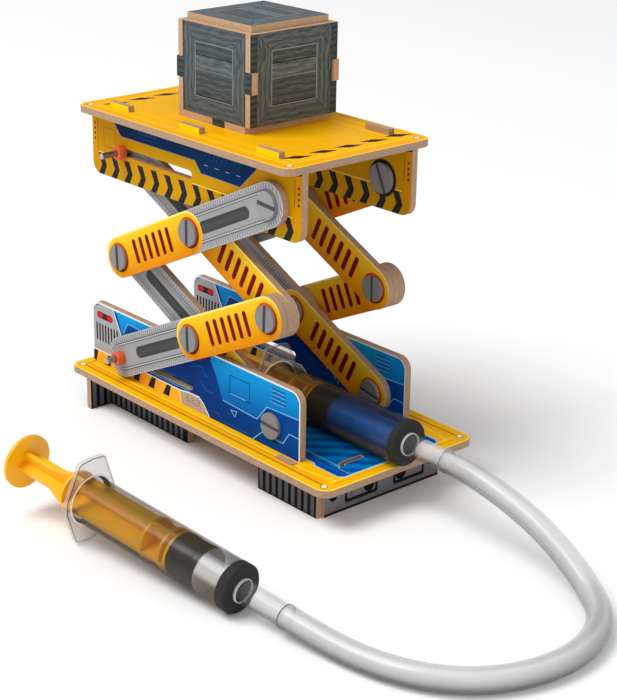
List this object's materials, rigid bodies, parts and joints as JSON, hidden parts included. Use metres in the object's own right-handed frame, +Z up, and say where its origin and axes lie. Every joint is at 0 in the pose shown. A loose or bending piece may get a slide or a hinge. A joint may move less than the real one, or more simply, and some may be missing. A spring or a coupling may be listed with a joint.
{
  "type": "hydraulic scissor lift kit",
  "caption": "Printed-board table-top scissor lift with a crate on its deck, raised by a syringe in the base that a hand syringe drives through a clear tube.",
  "frame": {"origin": "on the floor, at the middle of the footprint of the lift and its hand syringe", "axes": "+X along the base from the sliding rods to the end where the tube leaves, +Y to the side away from the hand syringe, +Z up"},
  "size_m": [0.2781, 0.1582, 0.1683],
  "materials": {
    "yellow_board": "printed gloss on chipboard",
    "blue_board": "printed gloss on chipboard",
    "black_board": "printed satin on chipboard",
    "arm_board": "printed gloss on chipboard",
    "bare_board": "bare cut chipboard",
    "crate_board": "printed satin on chipboard",
    "pin_plastic": "satin",
    "steel_rod": "brushed",
    "stop_rubber": "matte",
    "clear_plastic": "clear gloss",
    "black_rubber": "matte",
    "orange_plastic": "gloss",
    "clear_tube": "clear satin"
  },
  "bodies": {
    "root": {"base_plate": "yellow_board", "base_side_near": "blue_board", "base_side_far": "blue_board", "back_foot_end": "black_board", "back_foot_side_near": "black_board", "back_foot_side_far": "black_board", "front_foot_end": "black_board", "front_foot_side_near": "black_board", "front_foot_side_far": "black_board", "base_pivot_pins": "pin_plastic", "base_pivot_caps": "pin_plastic", "lift_barrel": "clear_plastic", "lift_barrel_end": "black_rubber", "lift_nozzle": "clear_plastic", "hand_barrel": "clear_plastic", "hand_barrel_end": "black_rubber", "hand_nozzle": "clear_plastic", "tube": "clear_tube"},
    "lower_inner_arms": {"lower_inner_arm_near": "arm_board", "lower_inner_arm_far": "arm_board", "lower_centre_pins": "pin_plastic", "lower_centre_caps": "pin_plastic", "lower_centre_spacers": "bare_board", "left_joint_pins": "pin_plastic", "left_joint_caps": "pin_plastic", "left_joint_spacers": "bare_board"},
    "lower_outer_arms": {"lower_outer_arm_near": "arm_board", "lower_outer_arm_far": "arm_board", "right_joint_pins": "pin_plastic", "right_joint_caps": "pin_plastic", "right_joint_spacers": "bare_board", "lower_slide_rod": "steel_rod", "lower_rod_stops": "stop_rubber", "lower_rod_rings": "stop_rubber"},
    "upper_outer_arms": {"upper_outer_arm_near": "arm_board", "upper_outer_arm_far": "arm_board", "upper_centre_pins": "pin_plastic", "upper_centre_caps": "pin_plastic", "upper_centre_spacers": "bare_board"},
    "upper_inner_arms": {"upper_inner_arm_near": "arm_board", "upper_inner_arm_far": "arm_board", "upper_slide_rod": "steel_rod", "upper_rod_stops": "stop_rubber", "upper_rod_rings": "stop_rubber"},
    "deck": {"deck_plate": "yellow_board", "deck_rail_near": "yellow_board", "deck_rail_far": "yellow_board", "deck_pivot_pins": "pin_plastic", "deck_pivot_caps": "pin_plastic"},
    "crate": {"crate_floor": "crate_board", "crate_lid": "crate_board", "crate_wall_near": "crate_board", "crate_wall_far": "crate_board", "crate_wall_front": "crate_board", "crate_wall_back": "crate_board"},
    "lift_piston": {"lift_plunger": "orange_plastic", "lift_stopper": "black_rubber"},
    "hand_piston": {"hand_plunger": "orange_plastic", "hand_stopper": "black_rubber"}
  },
  "joints": [
    {"name": "lift_hinge", "type": "hinge", "parent": "root", "child": "lower_inner_arms", "pos_m": [0.0172, 0.04076, 0.0256], "axis": [0, 1, 0], "range_deg": [0, 28.7]},
    {"name": "lower_cross", "type": "hinge", "parent": "lower_inner_arms", "child": "lower_outer_arms", "pos_m": [-0.02849, 0.04076, 0.0471], "axis": [0, -1, 0], "range_deg": [0, 58]},
    {"name": "left_joint", "type": "hinge", "parent": "lower_inner_arms", "child": "upper_outer_arms", "pos_m": [-0.07419, 0.04076, 0.0686], "axis": [0, -1, 0], "range_deg": [0, 58]},
    {"name": "upper_cross", "type": "hinge", "parent": "upper_outer_arms", "child": "upper_inner_arms", "pos_m": [-0.02849, 0.04076, 0.09011], "axis": [0, 1, 0], "range_deg": [0, 58]},
    {"name": "deck_hinge", "type": "hinge", "parent": "upper_outer_arms", "child": "deck", "pos_m": [0.0172, 0.04076, 0.11161], "axis": [0, 1, 0], "range_deg": [0, 29]},
    {"name": "lift_plunger_slide", "type": "slide", "parent": "root", "child": "lift_piston", "axis": [1, 0, 0], "range_m": [0, 0.032]},
    {"name": "hand_plunger_slide", "type": "slide", "parent": "root", "child": "hand_piston", "axis": [-0.9866, -0.1246, 0.1049], "range_m": [0, 0.032]},
    {"name": "crate_lift_off", "type": "slide", "parent": "deck", "child": "crate", "axis": [0, 0, 1], "range_m": [0, 0.04]}
  ],
  "couplings": [
    {"joint": "lower_cross", "follows": "lift_hinge", "ratio": 2},
    {"joint": "left_joint", "follows": "lift_hinge", "ratio": 2},
    {"joint": "upper_cross", "follows": "lift_hinge", "ratio": 2},
    {"joint": "deck_hinge", "follows": "lift_hinge", "ratio": 1},
    {"joint": "lift_plunger_slide", "follows": "lift_hinge", "m_per_rad": 0.063684},
    {"joint": "hand_plunger_slide", "follows": "lift_hinge", "m_per_rad": 0.063684}
  ]
}
